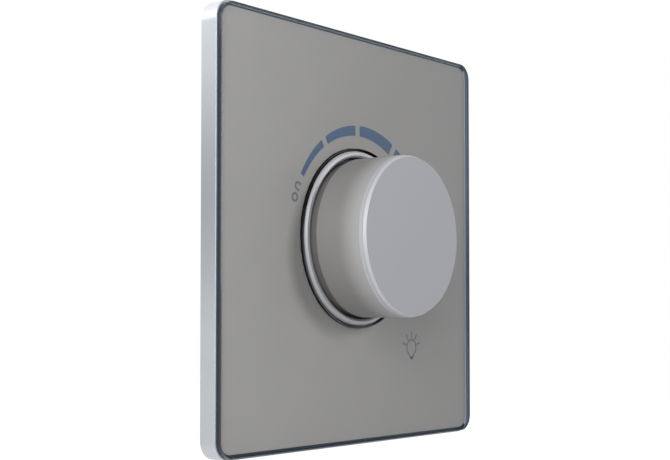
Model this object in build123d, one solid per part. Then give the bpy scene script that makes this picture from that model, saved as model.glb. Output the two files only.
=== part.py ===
from build123d import *
import os

# Frame: millimetres, +Z up, the viewer looks along +Y, the wall face is the plane y = 0,
# and the knob turns about the Y axis. Places towards the viewer have negative y.

# Square plate
plate_width = 86.0
plate_corner = 3.8
frame_depth = 3.8
frame_wall = 1.5
frame_face_thickness = 1.2
frame_edge_chamfer = 0.12
adhesive_thickness = 0.2
adhesive_inset = 0.15
panel_inset = 0.35
panel_thickness = 0.9
panel_arris = 0.12
panel_hole_clearance = 0.49

# Bezel ring
ring_to_cap_gap = 0.41
ring_face_width = 1.3
ring_flange_reach = 0.95
ring_flange_thickness = 0.8
ring_outer_edge_sink = 0.45
ring_inner_edge_rise = 0.1
ring_outer_bevel = 0.35
ring_shoulder_rise = 0.2
ring_inner_bevel = 0.4
ring_crest_rise = 0.3
ring_lug_width = 4.0
ring_lug_depth = 0.8
ring_bore_clearance = 0.2

# Carrier plate behind the frame
carrier_thickness = 1.2
carrier_clearance = 0.2
carrier_opening_radius = 9.0
carrier_screw_access_radius = 4.2
catch_length = 6.0
catch_height = 0.6
catch_reach = 0.8
catch_clearance = 0.15
catch_to_corner = 17.0
hook_width = 7.0
hook_thickness = 1.4
hook_barb = 0.6
hook_reach = 2.2
hook_play = 0.1
hook_across = 14.0
hook_to_housing_gap = 1.8
peg_radius = 1.5
peg_length = 1.0
peg_to_side = 6.0
peg_clearance = 0.1
pad_width = 3.0

# Steel mounting plate
steel_thickness = 1.0
steel_inset = 7.0
steel_corner = 3.0
wall_screw_inset = 5.85
wall_slot_length = 7.2
wall_slot_width = 4.0
window_clearance = 0.3

# Knob
cap_radius = 16.55
cap_wall = 1.0
cap_face_thickness = 1.2
cap_rear_rise = 1.4
cap_height = 12.03
cap_lower_chamfer_radial = 0.12
cap_lower_chamfer_axial = 0.7
cap_groove_depth = 0.1
cap_groove_width = 0.12
cap_upper_chamfer_radial = 0.32
cap_upper_chamfer_axial = 0.65
insert_clearance = 0.05
insert_wall = 1.2
insert_web = 1.2
insert_skirt_inset = 0.45
insert_skirt_gap = 0.3
insert_hub_radius = 5.2
insert_rib_count = 6
insert_rib_thickness = 1.2
insert_rib_depth = 7.0
hub_to_circlip_gap = 0.6

# Control shaft and its bearing
shaft_radius = 3.0
shaft_flat_height = 1.5
shaft_tip_gap = 0.5
shaft_step_radius = 2.0
shaft_tail_radius = 1.5
running_clearance = 0.05
bushing_radius = 3.5
bushing_flange_radius = 5.5
bushing_flange_thickness = 0.6
bushing_reach = 4.6
bushing_hole_clearance = 0.1
thread_clearance = 0.02
nut_across_flats = 10.0
nut_thickness = 2.0
washer_radius = 5.6
washer_thickness = 0.4
circlip_radius = 4.2
circlip_thickness = 0.5
circlip_groove_depth = 0.5
circlip_gap = 0.1
circlip_mouth = 2.6
spring_thickness = 0.25
spring_width = 3.6
spring_length = 7.0
spring_room = 0.5

# Potentiometer
can_radius = 8.2
can_wall = 0.5
can_depth = 5.4
can_lug_width = 2.6
can_lug_thickness = 1.0
can_lug_place = 7.0
can_mouth_width = 10.0
wafer_thickness = 1.0
wafer_clearance = 0.05
wafer_bore_radius = 2.6
rotor_radius = 5.6
rotor_thickness = 1.4
rotor_gap = 0.4
stop_lug_angle = 20.0
stop_lug_reach = 1.7
stop_margin = 1.0
travel_angle = 280.0
wiper_thickness = 0.2
wiper_width = 1.6
wiper_track_radius = 4.6
wiper_track_gap = 0.1
pin_width = 1.2
pin_thickness = 0.4
pin_pitch = 3.5
pin_drop = 9.6
pin_past_board = 0.5

# Rotary on/off switch behind the potentiometer
switch_depth = 6.0
switch_wall = 1.0
switch_floor = 1.4
tail_end_gap = 0.2
tail_seat_depth = 0.6
cam_radius = 3.0
cam_lobe_radius = 5.0
cam_lobe_angle = 30.0
cam_thickness = 2.0
cam_rise = 1.0
contact_thickness = 0.4
contact_length = 5.0
contact_clearance = 0.7

# Rear housing
housing_width = 42.0
housing_height = 50.0
housing_depth = 19.0
housing_wall = 1.5
housing_corner = 2.0
cavity_corner = 0.5
housing_rear_chamfer = 1.4
housing_flange_reach = 1.0
housing_flange_thickness = 1.2
boss_radius = 2.7
boss_inset = 1.9
boss_bore_depth = 10.0
vent_count = 5
vent_width = 1.6
vent_pitch = 4.2
vent_depth = 10.0
vent_start = 4.0
screw_radius = 1.2
screw_head_radius = 2.3
screw_length = 9.0
screw_recess_width = 0.6
screw_recess_depth = 0.5

# Circuit board and what stands on it
board_thickness = 1.6
board_to_floor = 4.0
board_clearance = 0.3
board_to_block_gap = 0.3
post_radius = 1.8
post_to_boss = 3.6
choke_side_gap = 2.6
choke_top_gap = 2.1
core_outer_radius = 5.6
core_inner_radius = 2.8
core_thickness = 5.8
winding_thickness = 0.8
winding_angle = 300.0
capacitor_size = (13.0, 11.0, 6.4)
capacitor_side_gap = 4.5
capacitor_top_gap = 3.3
capacitor_corner = 0.6
timing_size = (4.0, 7.0, 8.0)
timing_side_gap = 3.0
timing_up = 3.0
axial_side_gap = 5.3
resistor_radius = 1.2
resistor_length = 6.4
resistor_to_legs = 1.5
resistor_pitch = 3.0
diac_radius = 0.9
diac_length = 4.0
diac_up = 9.6
lead_width = 0.5
lead_overhang = 1.2
fuse_side_gap = 2.8
fuse_up = -1.5
fuse_radius = 2.2
fuse_length = 15.0
fuse_cap_length = 4.0
fuse_cap_wall = 0.3

# Heat sink and triac
sink_to_boss_gap = 0.9
sink_end_gap = 0.7
sink_to_can_gap = 1.8
sink_thickness = 1.5
triac_width = 7.8
triac_length = 10.8
triac_thickness = 2.7
triac_to_sink_side = 5.0
triac_end_gap = 1.1
triac_hole_radius = 1.6
triac_hole_from_end = 3.8
triac_leg_pitch = 2.3
triac_leg_width = 0.8
triac_leg_rise = 1.4
triac_screw_radius = 1.4
triac_screw_head_radius = 2.6
triac_screw_head_height = 1.3

# Terminals
pole_count = 3
pole_pitch = 8.6
block_end_wall = 1.2
block_depth = 9.5
block_height = 9.8
cage_size = 5.6
cage_length = 7.0
cage_wall = 0.9
cage_clearance = 0.15
wire_entry_radius = 1.7
wire_room = 0.3
terminal_screw_radius = 1.5
terminal_screw_head_radius = 2.1
terminal_screw_head_height = 1.4
terminal_screw_reach = 2.0
driver_access_clearance = 0.3
tail_width = 2.0
tail_thickness = 0.5
tail_overlap = 1.4

# Angles
full_turn = 360.0
quarter_turn = full_turn / 4

# Places along Y, from the wall face towards the viewer
steel_front = -steel_thickness
frame_front = -frame_depth
carrier_front = frame_front + frame_face_thickness
carrier_rear = carrier_front + carrier_thickness
adhesive_front = frame_front - adhesive_thickness
panel_front = adhesive_front - panel_thickness
cap_rear = panel_front - cap_rear_rise
cap_front = cap_rear - cap_height
cap_inside = cap_front + cap_face_thickness
washer_front = steel_front - washer_thickness
nut_front = washer_front - nut_thickness
bushing_front = -bushing_reach
circlip_rear = bushing_front - circlip_gap
circlip_front = circlip_rear - circlip_thickness
hub_rear = circlip_front - hub_to_circlip_gap
web_rear = cap_inside + insert_web
shaft_tip = web_rear + shaft_tip_gap

# Places along Y behind the wall face
housing_floor = housing_depth - housing_wall
board_front = housing_floor - board_to_floor
board_rear = board_front + board_thickness
bushing_flange_rear = can_wall + bushing_flange_thickness
rotor_front = bushing_flange_rear + rotor_gap
rotor_rear = rotor_front + rotor_thickness
wafer_front = can_depth - wafer_thickness
switch_front = can_depth
switch_rear = switch_front + switch_depth
switch_inside = switch_rear - switch_floor
tail_end = switch_inside + tail_seat_depth - tail_end_gap
cam_front = switch_front + cam_rise
cam_rear = cam_front + cam_thickness
pin_end = board_rear + pin_past_board

# Outlines and radii that follow from the sizes above
panel_width = plate_width - 2 * panel_inset
panel_corner = plate_corner - panel_inset
pocket_width = plate_width - 2 * frame_wall
pocket_corner = plate_corner - frame_wall
ring_inner_radius = cap_radius + ring_to_cap_gap
ring_outer_radius = ring_inner_radius + ring_face_width
ring_flange_radius = ring_outer_radius + ring_flange_reach
panel_hole_radius = ring_outer_radius + panel_hole_clearance
skirt_radius = cap_radius - insert_skirt_inset
insert_radius = cap_radius - cap_wall - insert_clearance
housing_inner_width = housing_width - 2 * housing_wall
housing_inner_height = housing_height - 2 * housing_wall
side_wall = housing_inner_width / 2
top_wall = housing_inner_height / 2
rest_angle = -travel_angle / 2

# Places in the front view, on the plates
steel_width = plate_width - 2 * steel_inset
wall_screw_spacing = steel_width - 2 * wall_screw_inset
wall_slot_places = [(x * wall_screw_spacing / 2, 0.0) for x in (-1, 1)]
catch_across = plate_width / 2 - catch_to_corner
hook_up = housing_height / 2 + housing_flange_reach + hook_to_housing_gap + hook_thickness / 2
hook_places = [(x, z) for x in (-hook_across, hook_across) for z in (-hook_up, hook_up)]
peg_place = plate_width / 2 - peg_to_side
peg_places = [(x, z) for x in (-peg_place, peg_place) for z in (-peg_place, peg_place)]
boss_across = side_wall - boss_inset
boss_up = top_wall - boss_inset
boss_places = [(x, z) for x in (-boss_across, boss_across) for z in (-boss_up, boss_up)]
post_across = boss_across - post_to_boss

# Places in the front view, on the circuit board and the heat sink
choke_radius = core_outer_radius + winding_thickness
choke_place = (choke_side_gap + choke_radius - side_wall, top_wall - choke_top_gap - choke_radius)
capacitor_across = side_wall - capacitor_side_gap - capacitor_size[0] / 2
capacitor_up = top_wall - capacitor_top_gap - capacitor_size[2] / 2
timing_across = side_wall - timing_side_gap - timing_size[0] / 2
axial_across = side_wall - axial_side_gap
fuse_across = fuse_side_gap + fuse_radius + fuse_cap_wall - side_wall
sink_width = 2 * (boss_across - boss_radius - sink_to_boss_gap)
sink_low = top_wall - sink_end_gap
sink_high = can_radius + sink_to_can_gap
triac_across = sink_width / 2 - triac_to_sink_side
triac_top = sink_low - triac_end_gap - triac_length
triac_screw_up = -triac_top - triac_length + triac_hole_from_end
leg_places = [triac_across + i * triac_leg_pitch for i in (-1, 0, 1)]
leg_height = triac_top - triac_leg_rise + pin_thickness / 2
resistor_ups = [i * resistor_pitch + resistor_to_legs - leg_height for i in (0, 1)]
board_low_edge = top_wall - block_height - board_to_block_gap

# Places of the terminals
block_width = (pole_count - 1) * pole_pitch + cage_size + 2 * cage_clearance + 2 * block_end_wall
block_low = -top_wall
block_front = housing_floor - block_depth
cage_middle = block_low + block_height / 2
cage_front = block_front + block_end_wall
cage_rear = cage_front + cage_length
wire_height = cage_front + cage_wall + wire_entry_radius + wire_room
pole_places = [(i - (pole_count - 1) / 2) * pole_pitch for i in range(pole_count)]


def slab(outline, rear, front):
    """Solid of an outline drawn in the front view, between two places along Y."""
    return extrude(Plane.XZ.offset(-rear) * outline, amount=rear - front)


def disc(radius, rear, front, across=0.0, up=0.0):
    """Round bar along Y at a place in the front view."""
    return slab(Pos(across, up) * Circle(radius), rear, front)


def block(width, height, rear, front, across=0.0, up=0.0):
    """Square-edged bar along Y at a place in the front view."""
    return slab(Pos(across, up) * Rectangle(width, height), rear, front)


def turned(*profile):
    """Body of revolution about the knob axis from its (radius, y) corners."""
    return revolve(make_face(Polyline(*profile, close=True)), Axis.Y)


def arc_piece(inner, outer, middle, angle):
    """Part of a flat ring; its middle angle is clockwise from the top in the front view."""
    start = quarter_turn - middle - angle / 2
    outside = CenterArc((0, 0), outer, start, angle)
    inside = CenterArc((0, 0), inner, start, angle)
    first = Line(outside @ 0, inside @ 0)
    last = Line(outside @ 1, inside @ 1)
    return make_face([outside, inside, first, last])


def at_each(shape, places):
    """The same solid at several places in the front view."""
    return [Pos(across, 0, up) * shape for across, up in places]


def front_rim(solid):
    """Outer edges of the face nearest the viewer."""
    return solid.faces().sort_by(Axis.Y)[0].outer_wire().edges()


def rod_between(radius, start, end):
    """Straight round rod from one point to another."""
    path = Line(start, end)
    return extrude(Plane(start, z_dir=path % 0) * Circle(radius), amount=path.length)


def glass_panel():
    """Clear panel with a polished arris and the round hole for the ring."""
    outline = RectangleRounded(panel_width, panel_width, panel_corner) - Circle(panel_hole_radius)
    panel = slab(outline, adhesive_front, panel_front)
    return chamfer(front_rim(panel), panel_arris)


def panel_adhesive():
    """Thin bonding sheet between the frame's face and the panel."""
    width = panel_width - 2 * adhesive_inset
    outline = RectangleRounded(width, width, panel_corner - adhesive_inset)
    return slab(outline - Circle(panel_hole_radius + adhesive_inset), frame_front, adhesive_front)


def catch_bars(length, height, reach, middle):
    """Bars on all four sides of the carrier, used for its catches and for their slots."""
    edge = pocket_width / 2 - carrier_clearance
    bar = block(length, reach, middle + height / 2, middle - height / 2, 0, edge + reach / 2)
    bars = [Pos(side * catch_across, 0, 0) * bar for side in (-1, 1)]
    return [Rot(0, i * quarter_turn, 0) * one for i in range(4) for one in bars]


def trim_frame():
    """Cast frame: open at the rear, with catch slots, locating pegs and a chamfered front edge."""
    frame = slab(RectangleRounded(plate_width, plate_width, plate_corner), 0, frame_front)
    frame = chamfer(front_rim(frame), frame_edge_chamfer)
    frame -= slab(RectangleRounded(pocket_width, pocket_width, pocket_corner), 0, carrier_front)
    frame -= disc(ring_flange_radius + ring_bore_clearance, 0, frame_front)
    middle = (carrier_front + carrier_rear) / 2
    slot_length = catch_length + 2 * catch_clearance
    slot_height = catch_height + 2 * catch_clearance
    frame -= catch_bars(slot_length, slot_height, catch_reach + catch_clearance, middle)
    peg = disc(peg_radius, carrier_front + peg_length, carrier_front)
    return frame + at_each(peg, peg_places)


def bezel_ring():
    """Turned ring: bevelled front, seating flange behind the panel, two locating lugs."""
    flange_front = carrier_front - ring_flange_thickness
    ring = turned(
        (ring_inner_radius, carrier_front),
        (ring_flange_radius, carrier_front),
        (ring_flange_radius, flange_front),
        (ring_outer_radius, flange_front),
        (ring_outer_radius, panel_front + ring_outer_edge_sink),
        (ring_outer_radius - ring_outer_bevel, panel_front - ring_shoulder_rise),
        (ring_inner_radius + ring_inner_bevel, panel_front - ring_crest_rise),
        (ring_inner_radius, panel_front - ring_inner_edge_rise),
    )
    lug_height = ring_flange_radius - ring_inner_radius
    lug_middle = (ring_flange_radius + ring_inner_radius) / 2
    annulus = Circle(ring_flange_radius) - Circle(ring_inner_radius)
    lugs = [Pos(0, side * lug_middle) * Rectangle(ring_lug_width, 2 * lug_height) for side in (-1, 1)]
    return ring + slab(annulus & (Sketch() + lugs), carrier_front + ring_lug_depth, carrier_front)


def carrier_plate():
    """Moulded plate that holds the ring and frame and hooks through the steel plate."""
    width = pocket_width - 2 * carrier_clearance
    outline = RectangleRounded(width, width, pocket_corner - carrier_clearance)
    outline -= Circle(carrier_opening_radius)
    outline -= [Pos(*place) * Circle(carrier_screw_access_radius) for place in wall_slot_places]
    outline -= [Pos(*place) * Circle(peg_radius + peg_clearance) for place in peg_places]
    carrier = slab(outline, carrier_rear, carrier_front)
    notch_width = ring_lug_width + 2 * peg_clearance
    notch_height = ring_flange_radius - ring_inner_radius + 2 * peg_clearance
    notch_middle = (ring_flange_radius + ring_inner_radius) / 2
    notch_rear = carrier_front + ring_lug_depth + peg_clearance
    for side in (-1, 1):
        carrier -= block(notch_width, notch_height, notch_rear, carrier_front, 0, side * notch_middle)
    middle = (carrier_front + carrier_rear) / 2
    carrier += catch_bars(catch_length, catch_height, catch_reach, middle)
    for across, up in hook_places:
        side = 1 if up > 0 else -1
        carrier += block(hook_width, hook_thickness, hook_reach, carrier_rear, across, up)
        barb_middle = up + side * (hook_thickness + hook_barb) / 2
        carrier += block(hook_width, hook_barb, hook_reach, hook_play, across, barb_middle)
    pad = block(pad_width, pad_width, steel_front, carrier_rear)
    pad_place = steel_width / 2 - steel_corner
    return carrier + at_each(pad, [(x * pad_place, z * pad_place) for x in (-1, 1) for z in (-1, 1)])


def countersunk_hole():
    """Countersunk hole at the origin of the front view."""
    return turned((0, 0), (screw_radius, 0), (screw_head_radius, steel_front), (0, steel_front))


def mounting_plate():
    """Stamped plate with the two wall-screw slots, hook windows and the bushing hole."""
    outline = RectangleRounded(steel_width, steel_width, steel_corner)
    outline -= Circle(bushing_radius + bushing_hole_clearance)
    outline -= [Pos(*place) * SlotOverall(wall_slot_length, wall_slot_width) for place in wall_slot_places]
    window_width = hook_width + 2 * window_clearance
    window_height = hook_thickness + hook_barb + 2 * window_clearance
    for across, up in hook_places:
        side = 1 if up > 0 else -1
        outline -= Pos(across, up + side * hook_barb / 2) * Rectangle(window_width, window_height)
    lug_hole = Rectangle(can_lug_width + 2 * window_clearance, can_lug_thickness + 2 * window_clearance)
    outline -= Pos(0, can_lug_place) * lug_hole
    plate = slab(outline, 0, steel_front)
    return plate - at_each(countersunk_hole(), boss_places)


def knob_cap():
    """Turned cup with two chamfers and a fine groove between them."""
    lower_radius = cap_radius - cap_lower_chamfer_radial
    face_radius = lower_radius - cap_upper_chamfer_radial
    groove_radius = lower_radius - cap_groove_depth
    groove_front = cap_front + cap_upper_chamfer_axial
    groove_rear = groove_front + cap_groove_width
    side_front = groove_rear + cap_lower_chamfer_axial
    bore = cap_radius - cap_wall
    return turned(
        (bore, cap_rear),
        (cap_radius, cap_rear),
        (cap_radius, side_front),
        (lower_radius, groove_rear),
        (groove_radius, groove_rear),
        (groove_radius, groove_front),
        (lower_radius, groove_front),
        (face_radius, cap_front),
        (0, cap_front),
        (0, cap_inside),
        (bore, cap_inside),
    )


def shaft_section(radius, flat):
    """Round section cut by a flat above its centre."""
    return Circle(radius) & Pos(0, flat - radius) * Rectangle(4 * radius, 2 * radius)


def knob_insert():
    """Moulded core of the knob: skirt, wall, web, ribs and the hub with its flatted bore."""
    inner = insert_radius - insert_wall
    skirt_rear = carrier_front - insert_skirt_gap
    body = turned(
        (inner, skirt_rear),
        (skirt_radius, skirt_rear),
        (skirt_radius, cap_rear),
        (insert_radius, cap_rear),
        (insert_radius, cap_inside),
        (0, cap_inside),
        (0, web_rear),
        (inner, web_rear),
    )
    body += disc(insert_hub_radius, hub_rear, web_rear)
    rib_length = inner - insert_hub_radius + insert_wall
    rib_middle = (inner + insert_hub_radius) / 2
    rib_rear = web_rear + insert_rib_depth
    rib = block(insert_rib_thickness, rib_length, rib_rear, web_rear, 0, rib_middle)
    body += [Rot(0, i * full_turn / insert_rib_count, 0) * rib for i in range(insert_rib_count)]
    bore = shaft_section(shaft_radius + running_clearance, shaft_flat_height + spring_room)
    return body - slab(bore, hub_rear, web_rear)


def grip_spring():
    """Bowed leaf between the shaft's flat and the flat of the bore."""
    middle = (shaft_tip + hub_rear) / 2
    low = shaft_flat_height
    high = shaft_flat_height + spring_room
    near, far = middle - spring_length / 2, middle + spring_length / 2
    outside = ThreePointArc((near, high), (middle, low + spring_thickness), (far, high))
    inside = ThreePointArc((near, high - spring_thickness), (middle, low), (far, high - spring_thickness))
    first = Line(outside @ 0, inside @ 0)
    last = Line(outside @ 1, inside @ 1)
    leaf = Plane.YZ * make_face([outside, inside, first, last])
    return extrude(leaf, amount=spring_width / 2, both=True)


def control_shaft():
    """Shaft with the knob's flat, a circlip groove, a step for the rotor and a thin tail."""
    shaft = disc(shaft_radius, bushing_flange_rear, shaft_tip)
    flat = block(4 * shaft_radius, shaft_radius, hub_rear, shaft_tip, 0, shaft_flat_height + shaft_radius / 2)
    shaft -= flat
    groove = Circle(2 * shaft_radius) - Circle(shaft_radius - circlip_groove_depth)
    shaft -= slab(groove, circlip_rear, circlip_front)
    shaft += disc(shaft_step_radius, rotor_rear, bushing_flange_rear)
    return shaft + disc(shaft_tail_radius, tail_end, rotor_rear)


def shaft_circlip():
    """Open ring in the shaft's groove, in front of the bushing."""
    ring = Circle(circlip_radius) - Circle(shaft_radius - circlip_groove_depth)
    ring -= Pos(0, -circlip_radius) * Rectangle(circlip_mouth, 2 * circlip_radius)
    return slab(ring, circlip_rear, circlip_front)


def threaded_bushing():
    """Bearing tube of the shaft, with a flange inside the can."""
    bore = shaft_radius + running_clearance
    return turned(
        (bore, bushing_flange_rear),
        (bushing_flange_radius, bushing_flange_rear),
        (bushing_flange_radius, can_wall),
        (bushing_radius, can_wall),
        (bushing_radius, bushing_front),
        (bore, bushing_front),
    )


def bushing_nut():
    """Hexagon nut that clamps the potentiometer to the steel plate."""
    hexagon = RegularPolygon(nut_across_flats / 2, 6, major_radius=False)
    return slab(hexagon - Circle(bushing_radius + thread_clearance), washer_front, nut_front)


def lock_washer():
    """Flat washer under the nut."""
    ring = Circle(washer_radius) - Circle(bushing_radius + bushing_hole_clearance)
    return slab(ring, steel_front, washer_front)


def potentiometer_can():
    """Cup with the locating lug, the mouth for the pins and the end-of-travel stop inside."""
    inside = can_radius - can_wall
    can = disc(can_radius, can_depth, 0) - disc(inside, can_depth, can_wall)
    can -= disc(bushing_radius + thread_clearance, can_wall, 0)
    mouth_height = can_radius - rotor_radius + 2 * can_wall
    mouth_middle = -(can_radius + rotor_radius) / 2
    mouth = block(can_mouth_width, mouth_height, can_depth, wafer_front - can_wall, 0, mouth_middle)
    can -= mouth
    can += block(can_lug_width, can_lug_thickness, 0, steel_front, 0, can_lug_place)
    stop_angle = full_turn - travel_angle - stop_lug_angle - 2 * stop_margin
    stop_inner = rotor_radius + 2 * running_clearance
    stop = arc_piece(stop_inner, inside + can_wall / 2, full_turn / 2, stop_angle)
    return can + slab(stop, rotor_rear, can_wall)


def wiper_rotor():
    """Moulded rotor on the shaft, with the lug that meets the stop at both ends of travel."""
    lug = arc_piece(rotor_radius / 2, rotor_radius + stop_lug_reach, rest_angle, stop_lug_angle)
    rotor = Circle(rotor_radius) + lug - Circle(shaft_step_radius)
    return slab(rotor, rotor_rear, rotor_front)


def wiper_contact():
    """Brass leaf on the rotor whose finger stands up towards the track."""
    inner = shaft_step_radius
    outer = wiper_track_radius + wiper_width / 2
    leaf_middle = (inner + outer) / 2
    leaf = block(wiper_width, outer - inner, rotor_rear + wiper_thickness, rotor_rear, 0, leaf_middle)
    finger_rear = wafer_front - wiper_track_gap
    finger = block(wiper_width, wiper_thickness, finger_rear, rotor_rear, 0, wiper_track_radius)
    return Rot(0, rest_angle, 0) * (leaf + finger)


def potentiometer_wafer():
    """Insulating disc that carries the track, with a foot at the pins."""
    disc_radius = can_radius - can_wall - wafer_clearance
    foot_height = pin_drop - pin_thickness / 2
    foot = Pos(0, -foot_height / 2) * Rectangle(can_mouth_width - 2 * wafer_clearance, foot_height)
    return slab(Circle(disc_radius) + foot - Circle(wafer_bore_radius), can_depth, wafer_front)


def potentiometer_pins():
    """Three flat pins that run from the wafer's foot back through the board."""
    pin = block(pin_width, pin_thickness, pin_end, wafer_front, 0, -pin_drop)
    return at_each(pin, [(-pin_pitch, 0), (0, 0), (pin_pitch, 0)])


def switch_housing():
    """Moulded cup of the on/off switch, with the tail's seat in its floor."""
    cup = disc(can_radius, switch_rear, switch_front)
    cup -= disc(can_radius - switch_wall, switch_inside, switch_front)
    seat_radius = shaft_tail_radius + running_clearance
    cup -= disc(seat_radius, switch_inside + tail_seat_depth, switch_inside)
    return cup - slab(contact_slots(0), switch_rear, switch_inside)


def switch_cam():
    """Cam on the shaft's tail, with one lobe that works the moving contact."""
    lobe = arc_piece(cam_radius / 2, cam_lobe_radius, rest_angle, cam_lobe_angle)
    outline = Circle(cam_radius) + lobe - Circle(shaft_tail_radius)
    return slab(outline, cam_rear, cam_front)


def contact_slots(clearance):
    """Outlines of the two contact blades, beside the cam's lobe at rest and opposite it."""
    reach = cam_lobe_radius + contact_clearance + contact_thickness / 2
    blade = Rectangle(contact_length + 2 * clearance, contact_thickness + 2 * clearance)
    turn = Rot(0, 0, -rest_angle)
    return Sketch() + [turn * Pos(0, side * reach) * blade for side in (-1, 1)]


def switch_contacts():
    """Moving and fixed contact blades, which run back through the cup's floor and the board."""
    return slab(contact_slots(0), pin_end, cam_front)


def housing_cavity():
    """Inner space of the rear housing."""
    outline = RectangleRounded(housing_inner_width, housing_inner_height, cavity_corner)
    return slab(outline, housing_floor, 0)


def rear_housing():
    """Moulded box behind the plate: bosses, board posts, vents, wire entries, driver holes."""
    outline = RectangleRounded(housing_width, housing_height, housing_corner)
    shell = slab(outline, housing_depth, 0)
    rear_rim = shell.faces().sort_by(Axis.Y)[-1].outer_wire().edges()
    shell = chamfer(rear_rim, housing_rear_chamfer)
    flange_width = housing_width + 2 * housing_flange_reach
    flange_height = housing_height + 2 * housing_flange_reach
    flange = RectangleRounded(flange_width, flange_height, housing_corner + housing_flange_reach)
    shell += slab(flange, housing_flange_thickness, 0)
    boss = disc(boss_radius, housing_floor, 0)
    post = disc(post_radius, housing_floor, board_rear)
    top_post = boss_up - boss_radius - post_radius
    post_places = [(x * post_across, z) for x in (-1, 1) for z in (top_post, -board_low_edge + post_radius)]
    inside = at_each(boss, boss_places) + at_each(post, post_places)
    shell = shell - housing_cavity() + [one & housing_cavity() for one in inside]
    bore = disc(screw_radius, boss_bore_depth, 0)
    shell -= at_each(bore, boss_places)
    vent_rear = vent_start + vent_depth
    for i in range(vent_count):
        up = (i - (vent_count - 1) / 2) * vent_pitch
        shell -= block(2 * flange_width, vent_width, vent_rear, vent_start, 0, up)
    for across in pole_places:
        entry = Pos(across, wire_height) * Circle(wire_entry_radius)
        shell -= extrude(Plane.XY.offset(block_low) * entry, amount=-2 * housing_wall)
        access = terminal_screw_head_radius + driver_access_clearance
        shell -= disc(access, housing_depth, housing_floor, across, cage_middle)
    return shell


def housing_screw():
    """Countersunk screw with a cross recess."""
    screw = turned(
        (0, steel_front),
        (screw_head_radius, steel_front),
        (screw_radius, 0),
        (screw_radius, steel_front + screw_length),
        (0, steel_front + screw_length),
    )
    return screw - cross_recess(screw_head_radius, steel_front)


def cross_recess(head_radius, front):
    """Cross-shaped cut in a screw's head."""
    arm = Rectangle(head_radius, screw_recess_width)
    return slab(arm + Rot(0, 0, quarter_turn) * arm, front + screw_recess_depth, front)


def circuit_board():
    """Board with corner cut-outs for the bosses and holes for the pins."""
    width = housing_inner_width - 2 * board_clearance
    top = top_wall - board_clearance
    height = top + board_low_edge
    outline = Pos(0, (top - board_low_edge) / 2) * Rectangle(width, height)
    outline -= [Pos(*place) * Circle(boss_radius + board_clearance) for place in boss_places]
    slot = Rectangle(pin_width + board_clearance, pin_thickness + board_clearance)
    outline -= [Pos(i * pin_pitch, -pin_drop) * slot for i in (-1, 0, 1)]
    outline -= contact_slots(board_clearance / 2)
    leg = Circle(triac_leg_width / 2 + board_clearance)
    outline -= [Pos(across, -leg_height) * leg for across in leg_places]
    return slab(outline, board_rear, board_front)


def choke_core():
    """Ferrite ring of the noise choke."""
    rear = board_front - winding_thickness
    core = slab(Circle(core_outer_radius) - Circle(core_inner_radius), rear, rear - core_thickness)
    return at_each(core, [choke_place])[0]


def choke_winding():
    """Copper winding round most of the core."""
    core_rear = board_front - winding_thickness
    core_front_place = core_rear - core_thickness
    inner = core_inner_radius - winding_thickness
    outer = core_outer_radius + winding_thickness
    wound = slab(arc_piece(inner, outer, 0, winding_angle), board_front, core_front_place - winding_thickness)
    wound -= slab(Circle(core_outer_radius) - Circle(core_inner_radius), core_rear, core_front_place)
    return at_each(wound, [choke_place])[0]


def boxed_capacitor(size, across, up):
    """Boxed capacitor that stands on the board, with rounded corners."""
    width, depth, height = size
    box = block(width, height, board_front, board_front - depth, across, up)
    return fillet(box.edges().filter_by(Axis.Y), capacitor_corner)


def axial_part(radius, length, up):
    """Cylinder lying across the board with a bent lead at each end."""
    middle = board_front - radius
    end = length / 2
    part = rod_between(radius, (axial_across - end, middle, up), (axial_across + end, middle, up))
    reach = end + lead_overhang
    lead_front = middle - lead_width / 2
    part += block(2 * reach, lead_width, middle + lead_width / 2, lead_front, axial_across, up)
    foot = block(lead_width, lead_width, board_front, lead_front, axial_across, up)
    foot_reach = reach - lead_width / 2
    return part + [Pos(side * foot_reach, 0, 0) * foot for side in (-1, 1)]


def fuse_section(radius, low, high):
    """Round bar up the board at the fuse's place."""
    middle = board_front - fuse_radius - fuse_cap_wall
    return rod_between(radius, (fuse_across, middle, low), (fuse_across, middle, high))


def fuse_tube():
    """Glass tube of the fuse."""
    low = fuse_up - fuse_length / 2
    high = fuse_up + fuse_length / 2
    return fuse_section(fuse_radius, low, high)


def fuse_end_caps():
    """Metal caps at both ends of the fuse, which stand on the board."""
    caps = []
    for side in (-1, 1):
        end = fuse_up + side * (fuse_length / 2 + fuse_cap_wall)
        inner = end - side * fuse_cap_length
        cap = fuse_section(fuse_radius + fuse_cap_wall, min(end, inner), max(end, inner))
        caps.append(cap - fuse_tube())
    return caps


def heat_sink():
    """Aluminium block that takes the triac's heat to the steel plate."""
    height = sink_low - sink_high
    up = -(sink_low + sink_high) / 2
    plate = block(sink_width, height, sink_thickness, 0, 0, up)
    tapped = disc(triac_screw_radius + thread_clearance, sink_thickness, 0, triac_across, triac_screw_up)
    return plate - tapped


def triac_body():
    """Moulded power switch, screwed flat to the heat sink."""
    rear = sink_thickness + triac_thickness
    up = -triac_top - triac_length / 2
    body = block(triac_width, triac_length, rear, sink_thickness, triac_across, up)
    return body - disc(triac_hole_radius, rear, sink_thickness, triac_across, triac_screw_up)


def triac_legs():
    """Three legs that rise from the body and turn back through the board."""
    legs = []
    middle = sink_thickness + triac_thickness / 2
    for across in leg_places:
        rise = block(
            triac_leg_width,
            triac_leg_rise,
            middle + pin_thickness / 2,
            middle - pin_thickness / 2,
            across,
            -triac_top + triac_leg_rise / 2,
        )
        run = block(triac_leg_width, pin_thickness, pin_end, middle - pin_thickness / 2, across, -leg_height)
        legs.append(rise + run)
    return legs


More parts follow.
